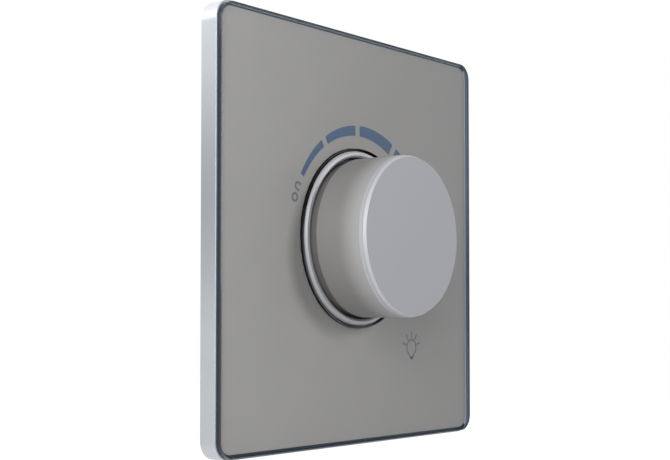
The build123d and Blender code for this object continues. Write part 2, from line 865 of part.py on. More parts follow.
def triac_screw():
    """Pan-head screw through the triac into the heat sink."""
    rear = sink_thickness + triac_thickness
    head = disc(triac_screw_head_radius, rear + triac_screw_head_height, rear)
    shank = disc(triac_screw_radius, rear, 0)
    screw = Pos(triac_across, 0, triac_screw_up) * (head + shank)
    recess_front = rear + triac_screw_head_height - screw_recess_depth
    recess = cross_recess(triac_screw_head_radius, recess_front)
    return screw - Pos(triac_across, 0, triac_screw_up) * recess


def terminal_block():
    """Moulded block with a cell for each cage, a wire entry below and a driver hole behind."""
    body = block(block_width, block_height, housing_floor, block_front, 0, cage_middle)
    cell = cage_size + 2 * cage_clearance
    for across in pole_places:
        body -= block(cell, cell, cage_rear + cage_clearance, cage_front, across, cage_middle)
        entry = Pos(across, wire_height) * Circle(wire_entry_radius)
        body -= extrude(Plane.XY.offset(block_low) * entry, amount=block_height / 2)
        access = terminal_screw_head_radius + driver_access_clearance
        body -= disc(access, housing_floor, cage_rear, across, cage_middle)
        tail_gap = tail_width + 2 * cage_clearance
        tail_slot_up = cage_middle + block_height / 2
        slot_front = board_rear - cage_clearance
        slot_rear = board_rear + tail_thickness + cage_clearance
        body -= block(tail_gap, block_height, slot_rear, slot_front, across, tail_slot_up)
    return body


def terminal_cages():
    """Brass cages, each with a wire hole, a screw hole and a tail to the board."""
    cages = []
    for across in pole_places:
        cage = block(cage_size, cage_size, cage_rear, cage_front, across, cage_middle)
        room_rear = cage_rear - 2 * cage_wall
        room = cage_size - 2 * cage_wall
        cage -= block(room, 2 * cage_size, room_rear, cage_front + cage_wall, across, cage_middle)
        cage -= disc(terminal_screw_radius + thread_clearance, cage_rear, room_rear, across, cage_middle)
        tail_top = -board_low_edge + tail_overlap
        tail_low = cage_middle + cage_size / 2 - cage_wall
        tail_height = tail_top - tail_low
        tail_middle = (tail_top + tail_low) / 2
        tail_rear = board_rear + tail_thickness
        cage += block(tail_width, tail_height, tail_rear, board_rear, across, tail_middle)
        cages.append(cage)
    return cages


def terminal_screws():
    """Clamping screws with slotted heads, reached from behind."""
    head = disc(terminal_screw_head_radius, cage_rear + terminal_screw_head_height, cage_rear)
    slot_rear = cage_rear + terminal_screw_head_height
    slot_front = slot_rear - screw_recess_depth
    head -= block(2 * terminal_screw_head_radius, screw_recess_width, slot_rear, slot_front)
    screw = head + disc(terminal_screw_radius, cage_rear, cage_rear - terminal_screw_reach)
    return at_each(screw, [(across, cage_middle) for across in pole_places])


pieces = {
    "glass_panel": glass_panel(),
    "panel_adhesive": panel_adhesive(),
    "trim_frame": trim_frame(),
    "bezel_ring": bezel_ring(),
    "carrier_plate": carrier_plate(),
    "mounting_plate": mounting_plate(),
    "knob_cap": knob_cap(),
    "knob_insert": knob_insert(),
    "grip_spring": grip_spring(),
    "control_shaft": control_shaft(),
    "shaft_circlip": shaft_circlip(),
    "threaded_bushing": threaded_bushing(),
    "bushing_nut": bushing_nut(),
    "lock_washer": lock_washer(),
    "potentiometer_can": potentiometer_can(),
    "wiper_rotor": wiper_rotor(),
    "wiper_contact": wiper_contact(),
    "potentiometer_wafer": potentiometer_wafer(),
    "potentiometer_pins": potentiometer_pins(),
    "switch_housing": switch_housing(),
    "switch_cam": switch_cam(),
    "switch_contacts": switch_contacts(),
    "rear_housing": rear_housing(),
    "housing_screws": at_each(housing_screw(), boss_places),
    "circuit_board": circuit_board(),
    "choke_core": choke_core(),
    "choke_winding": choke_winding(),
    "film_capacitor": boxed_capacitor(capacitor_size, capacitor_across, capacitor_up),
    "timing_capacitor": boxed_capacitor(timing_size, timing_across, timing_up),
    "resistors": [axial_part(resistor_radius, resistor_length, up) for up in resistor_ups],
    "diac": axial_part(diac_radius, diac_length, diac_up),
    "fuse_tube": fuse_tube(),
    "fuse_end_caps": fuse_end_caps(),
    "heat_sink": heat_sink(),
    "triac_body": triac_body(),
    "triac_legs": triac_legs(),
    "triac_screw": triac_screw(),
    "terminal_block": terminal_block(),
    "terminal_cages": terminal_cages(),
    "terminal_screws": terminal_screws(),
}

os.makedirs("parts", exist_ok=True)
for name, piece in pieces.items():
    solids = piece if isinstance(piece, list) else [piece]
    export_step(Compound(children=[s for one in solids for s in one.solids()]), f"parts/{name}.step")
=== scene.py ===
"""Looks of a rotary dimmer switch with a clear front panel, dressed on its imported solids.

Every solid keeps its shape and place and gets a finish. The grey coating and the blue print
behind the clear panel are added as thin pieces. Lengths are in millimetres up to the point
where a mesh or a node takes them, unless an attribute says metres. The viewer looks along +Y.
"""

import logging
import math
from dataclasses import dataclass, field
from enum import Enum
from typing import Iterable, Mapping, Sequence, Union

import bpy
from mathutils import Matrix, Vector


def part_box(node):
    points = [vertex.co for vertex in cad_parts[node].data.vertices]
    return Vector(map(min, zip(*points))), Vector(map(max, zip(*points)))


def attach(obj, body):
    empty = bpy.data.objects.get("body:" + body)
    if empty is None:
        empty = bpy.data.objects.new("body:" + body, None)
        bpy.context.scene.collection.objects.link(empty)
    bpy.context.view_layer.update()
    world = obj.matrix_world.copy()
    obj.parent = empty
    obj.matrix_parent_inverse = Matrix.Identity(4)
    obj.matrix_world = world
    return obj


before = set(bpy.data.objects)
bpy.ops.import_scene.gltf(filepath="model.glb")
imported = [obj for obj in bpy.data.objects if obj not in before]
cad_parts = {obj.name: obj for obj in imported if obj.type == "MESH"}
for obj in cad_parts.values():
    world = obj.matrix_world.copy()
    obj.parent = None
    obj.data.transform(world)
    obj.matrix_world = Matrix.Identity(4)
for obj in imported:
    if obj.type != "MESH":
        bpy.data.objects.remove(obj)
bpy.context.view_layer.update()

log = logging.getLogger("dimmer")
finished: dict[str, bpy.types.Material] = {}

MM = 0.001

# Half the width in which one finish turns into the next, in millimetres
BORDER = 0.02

Pair = tuple[float, float]
Triple = tuple[float, float, float]
Term = Union["Wire", float]


def tone(red: float, green: float, blue: float) -> Triple:
    """Linear colour of a display colour.

    Args:
        red: Display value from 0 to 255.
        green: Display value from 0 to 255.
        blue: Display value from 0 to 255.

    Returns:
        The three linear values, from 0 to 1.
    """
    def linear(value: float) -> float:
        """Linear value of one display value."""
        share = value / 255
        return share / 12.92 if share <= 0.04045 else ((share + 0.055) / 1.055) ** 2.4

    return linear(red), linear(green), linear(blue)


def millimetre_box(node: str) -> tuple[Vector, Vector]:
    """Lowest and highest corner of a solid, in millimetres.

    Args:
        node: Name of the solid.

    Returns:
        Its two corners.
    """
    low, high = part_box(node)
    return low / MM, high / MM


PANEL_LOW, PANEL_HIGH = millimetre_box("glass_panel")
KNOB_FRONT = millimetre_box("knob_cap")[0].y


class Wire:
    """Output of a shader node that takes part in arithmetic."""

    def __init__(self, shader: "Shader", socket: bpy.types.NodeSocket) -> None:
        """Keeps the socket and the shader it belongs to."""
        self.shader = shader
        self.socket = socket

    def maths(self, operation: str, *terms: Term) -> "Wire":
        """Adds a Math node.

        Args:
            operation: Name of the Math node's operation.
            terms: Its values or links, in order.

        Returns:
            The node's result.
        """
        return self.shader.wire("ShaderNodeMath", {"operation": operation}, dict(enumerate(terms)))

    def __add__(self, other: Term) -> "Wire":
        """Sum."""
        return self.maths("ADD", self, other)

    def __radd__(self, other: Term) -> "Wire":
        """Sum with a number on the left."""
        return self.maths("ADD", other, self)

    def __sub__(self, other: Term) -> "Wire":
        """Difference."""
        return self.maths("SUBTRACT", self, other)

    def __rsub__(self, other: Term) -> "Wire":
        """Difference from a number on the left."""
        return self.maths("SUBTRACT", other, self)

    def __mul__(self, other: Term) -> "Wire":
        """Product."""
        return self.maths("MULTIPLY", self, other)

    def __rmul__(self, other: Term) -> "Wire":
        """Product with a number on the left."""
        return self.maths("MULTIPLY", other, self)

    def __abs__(self) -> "Wire":
        """Size without sign."""
        return self.maths("ABSOLUTE", self)

    def root(self) -> "Wire":
        """Square root."""
        return self.maths("SQRT", self)

    def larger(self, other: Term) -> "Wire":
        """The larger of two values."""
        return self.maths("MAXIMUM", self, other)

    def rises(self, low: float, high: float) -> "Wire":
        """Mask that is 0 below low, 1 above high and eases between.

        Args:
            low: Value where the mask starts to rise.
            high: Value where it is full.

        Returns:
            The mask.
        """
        settings = {"interpolation_type": "SMOOTHSTEP"}
        values = {"Value": self, "From Min": low, "From Max": high}
        return self.shader.wire("ShaderNodeMapRange", settings, values)

    def passes(self, place: float, ease: float = BORDER) -> "Wire":
        """Mask that turns from 0 to 1 around a place.

        Args:
            place: Middle of the change, in millimetres.
            ease: Half its width, in millimetres.

        Returns:
            The mask.
        """
        return self.rises((place - ease) * MM, (place + ease) * MM)


class Shader:
    """Node tree of one material or world, emptied when it is taken over."""

    def __init__(self, tree: bpy.types.NodeTree) -> None:
        """Empties the tree."""
        self.tree = tree
        tree.nodes.clear()

    def node(
        self,
        kind: str,
        settings: Mapping[str, object] | None = None,
        values: Mapping[Union[str, int], object] | None = None,
    ) -> bpy.types.Node:
        """Adds a node.

        Args:
            kind: Type name of the node.
            settings: Its properties, which are set first.
            values: Values or links of its input sockets, by name or number.

        Returns:
            The new node.
        """
        made = self.tree.nodes.new(kind)
        for name, value in (settings or {}).items():
            setattr(made, name, value)
        for name, value in (values or {}).items():
            socket = made.inputs[name]
            if isinstance(value, Wire):
                self.tree.links.new(value.socket, socket)
            elif socket.type == "RGBA" and len(value) == 3:
                socket.default_value = (*value, 1)
            else:
                socket.default_value = value
        return made

    def wire(
        self,
        kind: str,
        settings: Mapping[str, object] | None = None,
        values: Mapping[Union[str, int], object] | None = None,
        output: Union[str, int] = 0,
    ) -> Wire:
        """Adds a node and gives one of its outputs.

        Args:
            kind: Type name of the node.
            settings: Its properties.
            values: Values or links of its input sockets.
            output: Name or number of the output that is wanted.

        Returns:
            That output.
        """
        return Wire(self, self.node(kind, settings, values).outputs[output])

    def blend(self, share: Term, first: object, second: object) -> Wire:
        """Colour between two colours.

        Args:
            share: 0 for the first colour, 1 for the second.
            first: Colour or link.
            second: Colour or link.

        Returns:
            The mixed colour.
        """
        # A Mix node has separate sockets for each kind of value; these are the ones for colours
        values = {0: share, 6: first, 7: second}
        return self.wire("ShaderNodeMix", {"data_type": "RGBA"}, values, output=2)

    def place(self) -> Wire:
        """Point on the piece, in its own frame, which turns with it."""
        return self.wire("ShaderNodeTexCoord", output="Object")

    def parts_of(self, vector: Wire) -> tuple[Wire, Wire, Wire]:
        """The three parts of a vector."""
        split = self.node("ShaderNodeSeparateXYZ", values={0: vector})
        return tuple(Wire(self, socket) for socket in split.outputs)

    def point(self, across: Term, along: Term, up: Term) -> Wire:
        """Vector of three values."""
        return self.wire("ShaderNodeCombineXYZ", values={0: across, 1: along, 2: up})

    def radius(self, across: Wire, up: Wire) -> Wire:
        """Distance from the knob's axis."""
        return (across * across + up * up).root()

    def stretched(self, vector: Wire, scale: Triple) -> Wire:
        """Vector with each part multiplied."""
        settings = {"operation": "MULTIPLY"}
        return self.wire("ShaderNodeVectorMath", settings, {0: vector, 1: scale})

    def noise(self, vector: Wire, size: float) -> Wire:
        """Soft noise around 0.5.

        Args:
            vector: Where it is read, in metres.
            size: Width of one patch, in millimetres.

        Returns:
            The noise value.
        """
        values = {"Vector": vector, "Scale": 1 / (size * MM), "Detail": NOISE_LAYERS}
        return self.wire("ShaderNodeTexNoise", {"noise_dimensions": "3D"}, values, output="Fac")


class Grain(Enum):
    """How the fine texture of a surface runs."""

    EVEN = "even in all directions"
    ROLLED = "long streaks across"
    DRAWN = "long streaks upwards"
    TURNED = "rings about the knob's axis"
    WOVEN = "crossed threads"


# How many times longer than wide a streak is
STREAK = 14.0

# Range of the noise over which one patch turns into the next
PATCH_RANGE = (0.3, 0.7)
NOISE_LAYERS = 3.0
BUMP_STRENGTH = 0.6


def grain_place(shader: Shader, grain: Grain) -> Wire:
    """Point at which a grain's noise is read.

    Args:
        shader: The shader that is being built.
        grain: How the texture runs.

    Returns:
        The stretched or turned point.
    """
    place = shader.place()
    if grain is Grain.ROLLED:
        return shader.stretched(place, (1 / STREAK, 1, 1))
    if grain is Grain.DRAWN:
        return shader.stretched(place, (1, 1, 1 / STREAK))
    if grain is Grain.TURNED:
        across, along, up = shader.parts_of(place)
        return shader.point(shader.radius(across, up), along, 0.0)
    return place


@dataclass(frozen=True)
class Finish:
    """Surface of one kind of piece.

    Attributes:
        name: Name of the finish.
        base: Main colour.
        shade: Colour of its darker or warmer patches.
        patch: Width of those patches, in millimetres.
        grain: How the fine texture runs.
        grain_size: Width of the fine texture, in millimetres.
        relief: Height of the fine texture, in millimetres.
        roughness: Mean roughness.
        unevenness: How far the roughness varies.
        metallic: 1 for bare metal.
        coat: Weight of a clear coat.
        gloss: Strength of the reflection of a surface that isn't metal, 0.5 for plastic.
    """

    name: str
    base: Triple
    shade: Triple
    patch: float = 6.0
    grain: Grain = Grain.EVEN
    grain_size: float = 0.3
    relief: float = 0.004
    roughness: float = 0.5
    unevenness: float = 0.1
    metallic: float = 0.0
    coat: float = 0.0
    gloss: float = 0.5

    def colour(self, shader: Shader) -> Wire:
        """Base colour over the surface."""
        patches = shader.noise(shader.place(), self.patch).rises(*PATCH_RANGE)
        return shader.blend(patches, self.base, self.shade)

    def height(self, shader: Shader) -> Wire:
        """Fine texture as a height from 0 to 1."""
        place = grain_place(shader, self.grain)
        if self.grain is not Grain.WOVEN:
            return shader.noise(place, self.grain_size)
        across, _, up = shader.parts_of(place)
        turn = math.tau / (self.grain_size * MM)
        warp = (across * turn).maths("SINE", across * turn)
        weft = (up * turn).maths("SINE", up * turn)
        return warp * weft * 0.5 + 0.5

    def socket_values(self, shader: Shader) -> dict[str, object]:
        """Values and links of the surface shader.

        Args:
            shader: The shader that is being built.

        Returns:
            Input name to value or link.
        """
        height = self.height(shader)
        bump = {"Strength": BUMP_STRENGTH, "Distance": self.relief * MM, "Height": height}
        return {
            "Base Color": self.colour(shader),
            "Roughness": self.roughness + self.unevenness * (height - 0.5),
            "Metallic": self.metallic,
            "Coat Weight": self.coat,
            "Specular IOR Level": self.gloss,
            "Normal": shader.wire("ShaderNodeBump", values=bump),
        }

    def material(self) -> bpy.types.Material:
        """The material, which is made once.

        Returns:
            The finished material.
        """
        if self.name in finished:
            return finished[self.name]
        made = bpy.data.materials.new(self.name)
        finished[self.name] = made
        made.use_nodes = True
        shader = Shader(made.node_tree)
        surface = shader.wire("ShaderNodeBsdfPrincipled", values=self.socket_values(shader))
        shader.node("ShaderNodeOutputMaterial", values={"Surface": surface})
        return made


@dataclass(frozen=True)
class ClearFinish(Finish):
    """Clear material whose faces across Y are hardly seen.

    Attributes:
        clearness: How little of such a face is seen, as an alpha.
        edge_from: Part of the normal along Y below which a surface counts as an edge.
        edge_ease: How far above that part a face counts as flat.
    """

    clearness: float = 0.04
    edge_from: float = 0.9
    edge_ease: float = 0.05

    def socket_values(self, shader: Shader) -> dict[str, object]:
        """Adds the transparency of the flat faces."""
        values = super().socket_values(shader)
        normal = shader.wire("ShaderNodeNewGeometry", output="Normal")
        _, along, _ = shader.parts_of(normal)
        flat = abs(along).rises(self.edge_from, self.edge_from + self.edge_ease)
        values["Alpha"] = 1 - flat * (1 - self.clearness)
        return values


@dataclass(frozen=True)
class ClearPanelFinish(ClearFinish):
    """Clear sheet whose polished edges look dark blue, with painted light and shade on them that
    differ by side, depth and height.

    Attributes:
        painted_hole_shade: Painted shade, near black, on the edges near the middle.
        painted_lip_light: Painted light on the front part of those edges below the middle.
        lip_rear: Place along Y where that front part ends, in millimetres.
        lip_ease: Half the width of its rear border, in millimetres.
        low_range: Heights where that colour is full and where it starts, in millimetres.
        lowest_share: Share of that colour over the whole depth at the very bottom.
        lowest_range: Heights where that share is full and where it starts, in millimetres.
        hole_reach: Radius within which an edge belongs to the hole, in millimetres.
        hole_ease: Width of that radius's border, in millimetres.
        side_ease: Width of the change from the top's tones to a side's, in millimetres.
        painted_right_shading: Painted light on the edge on the right, which is seen from its inner
            side.
        painted_right_front_shade: Painted shade on that edge at the front.
        painted_left_front_light: Painted light on the left edge at the front.
        front: Place of the front face along Y, in millimetres.
        rear: Place of the rear face along Y, in millimetres.
        painted_root_highlight: Painted highlight on the left edge beside the frame.
        root_front: Place along Y up to which that colour reaches, in millimetres.
    """

    painted_hole_shade: Triple = tone(8, 9, 12)
    painted_lip_light: Triple = tone(112, 114, 118)
    lip_rear: float = -4.55
    lip_ease: float = 0.15
    low_range: Pair = (-12.0, 8.0)
    lowest_share: float = 0.5
    lowest_range: Pair = (-19.0, -14.5)
    hole_reach: float = 22.0
    hole_ease: float = 1.0
    side_ease: float = 10.0
    painted_right_shading: Triple = tone(108, 124, 140)
    painted_right_front_shade: Triple = tone(46, 58, 76)
    painted_left_front_light: Triple = tone(66, 72, 80)
    front: float = PANEL_LOW.y
    rear: float = PANEL_HIGH.y
    painted_root_highlight: Triple = tone(196, 206, 216)
    root_front: float = -4.0

    def colour(self, shader: Shader) -> Wire:
        """Painted shade near black in the hole with painted light on its lower lip, painted light
        on the right and left edges, and a painted highlight beside the frame.
        """
        across, along, up = shader.parts_of(shader.place())
        radius = shader.radius(across, up)
        reach = self.hole_reach * MM
        side_reach = (self.hole_reach + self.side_ease) * MM
        right = across.rises(reach, side_reach)
        left = (across * -1.0).rises(reach, side_reach)
        # Painted light and shade: each side's edge gets tones that stand for how it catches light
        depth = along.rises(self.front * MM, self.rear * MM)
        near = shader.blend(depth, self.painted_left_front_light, super().colour(shader))
        far = shader.blend(depth, self.painted_right_front_shade, self.painted_right_shading)
        walls = shader.blend(left, super().colour(shader), near)
        walls = shader.blend(right, walls, far)
        # Painted highlight on the left edge beside the frame
        outer = shader.blend(along.passes(self.root_front) * left, walls, self.painted_root_highlight)
        # Painted shade, near black, in the hole, with painted light on its lower front lip
        lip = 1 - along.passes(self.lip_rear, self.lip_ease)
        low = 1 - up.rises(*(height * MM for height in self.low_range))
        lowest = 1 - up.rises(*(height * MM for height in self.lowest_range))
        share = (lip * low).larger(lowest * self.lowest_share)
        hole = shader.blend(share, self.painted_hole_shade, self.painted_lip_light)
        past_hole = radius.rises((self.hole_reach - self.hole_ease) * MM, reach)
        return shader.blend(past_hole, hole, outer)


@dataclass(frozen=True)
class CoatingFinish(Finish):
    """Grey coating with painted shade that darkens it slowly from left to right.

    Attributes:
        painted_right_shading: Painted shade at the right.
        reach: Distance from the middle where each colour is full, in millimetres.
    """

    painted_right_shading: Triple = tone(121, 120, 119)
    reach: float = 48.0

    def colour(self, shader: Shader) -> Wire:
        """Blends the left colour into the painted shade on the right."""
        across, _, _ = shader.parts_of(shader.place())
        # Painted shade: the coating's colour darkens towards the right
        share = across.passes(0.0, self.reach)
        return shader.blend(share, super().colour(shader), self.painted_right_shading)


@dataclass(frozen=True)
class MarginFinish(Finish):
    """Uncoated margin with painted light and shade that differ from side to side.

    Attributes:
        half: Half the panel's width, in millimetres.
        line: Width of the outer line, in millimetres.
        line_ease: Half the width of that line's border, in millimetres.
        mitre_ease: Half the width of the border between two sides, in millimetres.
        light: Painted highlight on the lines that catch light.
        dim_painted_light: Dimmer painted light on the left side's inner line.
        painted_bottom_shade: Painted shade on the bottom.
        middle: Painted light on the right side's outer line.
    """

    half: float = PANEL_HIGH.x
    line: float = 0.4
    line_ease: float = 0.05
    mitre_ease: float = 0.2
    light: Triple = tone(150, 162, 172)
    dim_painted_light: Triple = tone(112, 113, 116)
    painted_bottom_shade: Triple = tone(32, 42, 52)
    middle: Triple = tone(108, 122, 136)

    def colour(self, shader: Shader) -> Wire:
        """Painted light outside at the top, inside on the right and dimmer inside on the left, and
        painted shade on the bottom.
        """
        across, _, up = shader.parts_of(shader.place())
        depth = self.half * MM - abs(across).larger(abs(up))
        inner = depth.passes(self.line, self.line_ease)
        top, right, left, bottom = (
            distance.passes(0.0, self.mitre_ease)
            for distance in (
                up - abs(across),
                across - abs(up),
                across * -1.0 - abs(up),
                up * -1.0 - abs(across),
            )
        )
        # Painted light and shade that differ from side to side
        plain = shader.blend(bottom, super().colour(shader), self.painted_bottom_shade)
        plain = shader.blend(right, plain, self.middle)
        lit = shader.blend(top * (1 - inner) + right * inner, plain, self.light)
        return shader.blend(left * inner, lit, self.dim_painted_light)


@dataclass(frozen=True)
class FrameFinish(Finish):
    """Satin metal with a finer, brighter band where the front edge was cut, painted shade halfway
    up the sides and a painted highlight on the upper left corner.

    Attributes:
        cut_colour: Colour of the cut edge.
        cut_roughness: Roughness of the cut edge.
        cut_rear: Place along Y where the cut edge starts, in millimetres.
        painted_side_shade: Painted shade halfway up the sides.
        shade_height: Height of the darkest painted shade, in millimetres.
        shade_reach: Distance from there at which the main colour is full.
        painted_corner_highlight: Painted highlight on the upper left corner.
        corner_start: Distance from the middle where that corner starts, in millimetres.
        corner_end: Distance from the middle where its colour is full, in millimetres.
    """

    cut_colour: Triple = tone(140, 148, 157)
    cut_roughness: float = 0.55
    cut_rear: float = -3.68
    painted_side_shade: Triple = tone(156, 160, 164)
    shade_height: float = 7.0
    shade_reach: float = 32.0
    painted_corner_highlight: Triple = tone(238, 242, 246)
    corner_start: float = 38.4
    corner_end: float = 40.4

    def colour(self, shader: Shader) -> Wire:
        """Painted shade halfway up the sides and a painted highlight on the upper left corner."""
        across, _, up = shader.parts_of(shader.place())
        # Painted shade, darkest a little above the middle of each side
        away = abs(up - self.shade_height * MM).rises(0.0, self.shade_reach * MM)
        sides = shader.blend(away, self.painted_side_shade, super().colour(shader))
        # Painted highlight on the upper left corner
        high = up.rises(self.corner_start * MM, self.corner_end * MM)
        left = (across * -1.0).rises(self.corner_start * MM, self.corner_end * MM)
        return shader.blend(high * left, sides, self.painted_corner_highlight)

    def socket_values(self, shader: Shader) -> dict[str, object]:
        """Changes colour and roughness on the cut edge."""
        values = super().socket_values(shader)
        _, along, _ = shader.parts_of(shader.place())
        cut = (along * -1.0).rises(-self.cut_rear * MM, (BORDER - self.cut_rear) * MM)
        values["Base Color"] = shader.blend(cut, values["Base Color"], self.cut_colour)
        values["Roughness"] = values["Roughness"] + cut * (self.cut_roughness - self.roughness)
        return values


@dataclass(frozen=True)
class RingFinish(Finish):
    """Turned metal with painted light on the outer bevel and painted shade on the outer wall.

    Attributes:
        painted_bevel_light: Painted light on the outer bevel.
        bevel_metallic: Metal share of the outer bevel.
        bevel_inner: Radius where the outer bevel starts, in millimetres.
        painted_wall_shade: Painted shade, near black, on the outer wall.
        painted_low_wall_light: Painted light on the outer wall at the very bottom.
        low_range: Heights where that colour is full and where it starts, in millimetres.
        wall_radius: Radius of the outer wall, in millimetres.
    """

    painted_bevel_light: Triple = tone(180, 181, 186)
    bevel_metallic: float = 0.1
    bevel_inner: float = 17.85
    painted_wall_shade: Triple = tone(3, 3, 4)
    painted_low_wall_light: Triple = tone(92, 93, 96)
    low_range: Pair = (-18.0, -13.0)
    wall_radius: float = 18.26

    def socket_values(self, shader: Shader) -> dict[str, object]:
        """Paints light on the outer bevel and shade on the wall, and changes the bevel's metal
        share.
        """
        values = super().socket_values(shader)
        across, _, up = shader.parts_of(shader.place())
        radius = shader.radius(across, up)
        # Painted light on the outer bevel; painted shade, near black, on the outer wall, lighter
        # at the very bottom
        bevel = radius.passes(self.bevel_inner)
        wall = radius.passes(self.wall_radius - BORDER, BORDER / 2)
        low = 1 - up.rises(*(height * MM for height in self.low_range))
        painted_wall_shade = shader.blend(low, self.painted_wall_shade, self.painted_low_wall_light)
        front = shader.blend(bevel, values["Base Color"], self.painted_bevel_light)
        values["Base Color"] = shader.blend(wall, front, painted_wall_shade)
        values["Metallic"] = self.metallic + bevel * (self.bevel_metallic - self.metallic)
        return values


@dataclass(frozen=True)
class KnobFinish(Finish):
    """Bead-blasted metal with bright turned chamfers at the front and painted light on the side
    towards them.

    Attributes:
        face_colour: Colour of the flat face.
        painted_rim_light: Painted light on the side near the chamfers.
        rim_from: Place along Y where the side starts to turn paler, in millimetres.
        cut_colour: Colour of the chamfers.
        cut_roughness: Roughness of the chamfers.
        cut_metallic: Metal share of the chamfers.
        face_front: Place of the face along Y, in millimetres.
        face_radius: Radius of the flat face, in millimetres.
        cut_depth: How far back the chamfers reach, in millimetres.
    """

    face_colour: Triple = tone(143, 144, 150)
    painted_rim_light: Triple = tone(186, 186, 186)
    rim_from: float = -11.0
    cut_colour: Triple = tone(190, 191, 196)
    cut_roughness: float = 0.57
    cut_metallic: float = 0.22
    face_front: float = KNOB_FRONT
    face_radius: float = 16.11
    cut_depth: float = 1.47

    def socket_values(self, shader: Shader) -> dict[str, object]:
        """Paints light on the side towards the chamfers, sets the face's colour and changes
        colour, roughness and metal share on the chamfers.
        """
        values = super().socket_values(shader)
        across, along, up = shader.parts_of(shader.place())
        radius = shader.radius(across, up)
        forward = along * -1.0
        face_place = -self.face_front
        cut_place = face_place - self.cut_depth
        cut = radius.passes(self.face_radius, BORDER / 2) * forward.passes(cut_place, BORDER / 2)
        face = forward.rises((face_place - BORDER) * MM, (face_place - BORDER / 2) * MM)
        # Painted light: the side turns paler towards the chamfers
        paler = forward.rises(-self.rim_from * MM, cut_place * MM)
        side = shader.blend(paler, values["Base Color"], self.painted_rim_light)
        body = shader.blend(face, side, self.face_colour)
        values["Base Color"] = shader.blend(cut, body, self.cut_colour)
        values["Roughness"] = values["Roughness"] + cut * (self.cut_roughness - self.roughness)
        values["Metallic"] = self.metallic + cut * (self.cut_metallic - self.metallic)
        return values


CLEAR_PANEL = ClearPanelFinish(
    "clear_sheet", tone(26, 34, 46), tone(32, 40, 52), roughness=0.08, unevenness=0.03,
    relief=0.0005, gloss=0.25,
)
COATING = CoatingFinish(
    "grey_coating", tone(136, 135, 134), tone(134, 133, 132), patch=14.0, grain_size=0.12,
    relief=0.0005, roughness=0.5, coat=0.2,
)
MARGIN = MarginFinish(
    "blue_margin", tone(62, 70, 80), tone(58, 66, 76), grain_size=0.2, relief=0.001,
    roughness=0.35, gloss=0.2,
)
BLUE_INK = Finish(
    "blue_ink", tone(45, 73, 104), tone(42, 69, 99), patch=2.0, grain_size=0.1, relief=0.001,
    roughness=0.5,
)
THIN_INK = Finish(
    "thin_ink", tone(80, 90, 104), tone(76, 86, 100), patch=2.0, grain_size=0.1, relief=0.001,
    roughness=0.5,
)
FOAM_TAPE = Finish(
    "bonding_sheet", tone(30, 34, 40), tone(24, 27, 32), grain_size=0.15, relief=0.02,
    roughness=0.8,
)
SATIN_SILVER = FrameFinish(
    "satin_silver", tone(186, 190, 194), tone(182, 186, 190), patch=9.0, grain=Grain.DRAWN,
    grain_size=0.12, relief=0.001, roughness=0.42, unevenness=0.08, metallic=0.75,
)
BRIGHT_RING = RingFinish(
    "turned_ring", tone(156, 157, 161), tone(153, 154, 158), grain=Grain.TURNED, grain_size=0.08,
    relief=0.0006, roughness=0.5, unevenness=0.05, metallic=0.6,
)
KNOB_METAL = KnobFinish(
    "blasted_knob", tone(150, 148, 146), tone(148, 146, 144), patch=5.0, grain_size=0.09,
    relief=0.002, roughness=0.5, unevenness=0.06, metallic=0.15,
)
DARK_MOULDING = Finish(
    "dark_moulding", tone(44, 44, 46), tone(38, 38, 40), grain_size=0.2, relief=0.008,
    roughness=0.55,
)
GREY_MOULDING = Finish(
    "grey_moulding", tone(112, 111, 109), tone(107, 106, 104), grain_size=0.2, relief=0.006,
    roughness=0.5,
)
HOUSING_MOULDING = Finish(
    "housing_moulding", tone(78, 79, 82), tone(70, 71, 74), patch=11.0, grain_size=0.28,
    relief=0.015, roughness=0.5, unevenness=0.14,
)
ZINC_PLATE = Finish(
    "zinc_plate", tone(196, 198, 196), tone(176, 180, 182), patch=4.0, grain=Grain.ROLLED,
    grain_size=0.18, relief=0.003, roughness=0.34, unevenness=0.16, metallic=1.0,
)
SPRING_STEEL = Finish(
    "drawn_steel", tone(168, 170, 174), tone(150, 152, 158), patch=3.0, grain=Grain.DRAWN,
    grain_size=0.1, relief=0.002, roughness=0.3, metallic=1.0,
)
TURNED_BRASS = Finish(
    "turned_brass", tone(214, 184, 112), tone(196, 160, 88), patch=3.0, grain=Grain.TURNED,
    grain_size=0.1, relief=0.003, roughness=0.3, metallic=1.0,
)
COPPER_WIRE = Finish(
    "copper_wire", tone(196, 112, 66), tone(168, 84, 44), patch=2.0, grain=Grain.EVEN,
    grain_size=0.4, relief=0.02, roughness=0.3, metallic=1.0, coat=0.4,
)
FERRITE = Finish(
    "fired_ferrite", tone(58, 58, 60), tone(46, 46, 48), grain_size=0.2, relief=0.02,
    roughness=0.75,
)
LAMINATE = Finish(
    "laminate", tone(42, 96, 62), tone(36, 84, 54), grain=Grain.WOVEN, grain_size=0.5,
    relief=0.004, roughness=0.35, coat=0.3,
)
CAPACITOR_BOX = Finish(
    "capacitor_box", tone(196, 160, 64), tone(186, 148, 54), grain_size=0.25, relief=0.01,
    roughness=0.4,
)
LACQUER = Finish(
    "lacquer", tone(186, 162, 124), tone(172, 146, 108), patch=2.0, grain_size=0.2, relief=0.01,
    roughness=0.35, coat=0.5,
)
TUBE_GLASS = ClearFinish(
    "tube_glass", tone(214, 220, 220), tone(206, 214, 214), roughness=0.08, unevenness=0.03,
    relief=0.0005, clearness=0.3, edge_from=0.0,
)
SINK_METAL = Finish(
    "sink_metal", tone(188, 189, 192), tone(172, 174, 178), patch=5.0, grain=Grain.ROLLED,
    grain_size=0.15, relief=0.003, roughness=0.38, metallic=1.0,
)


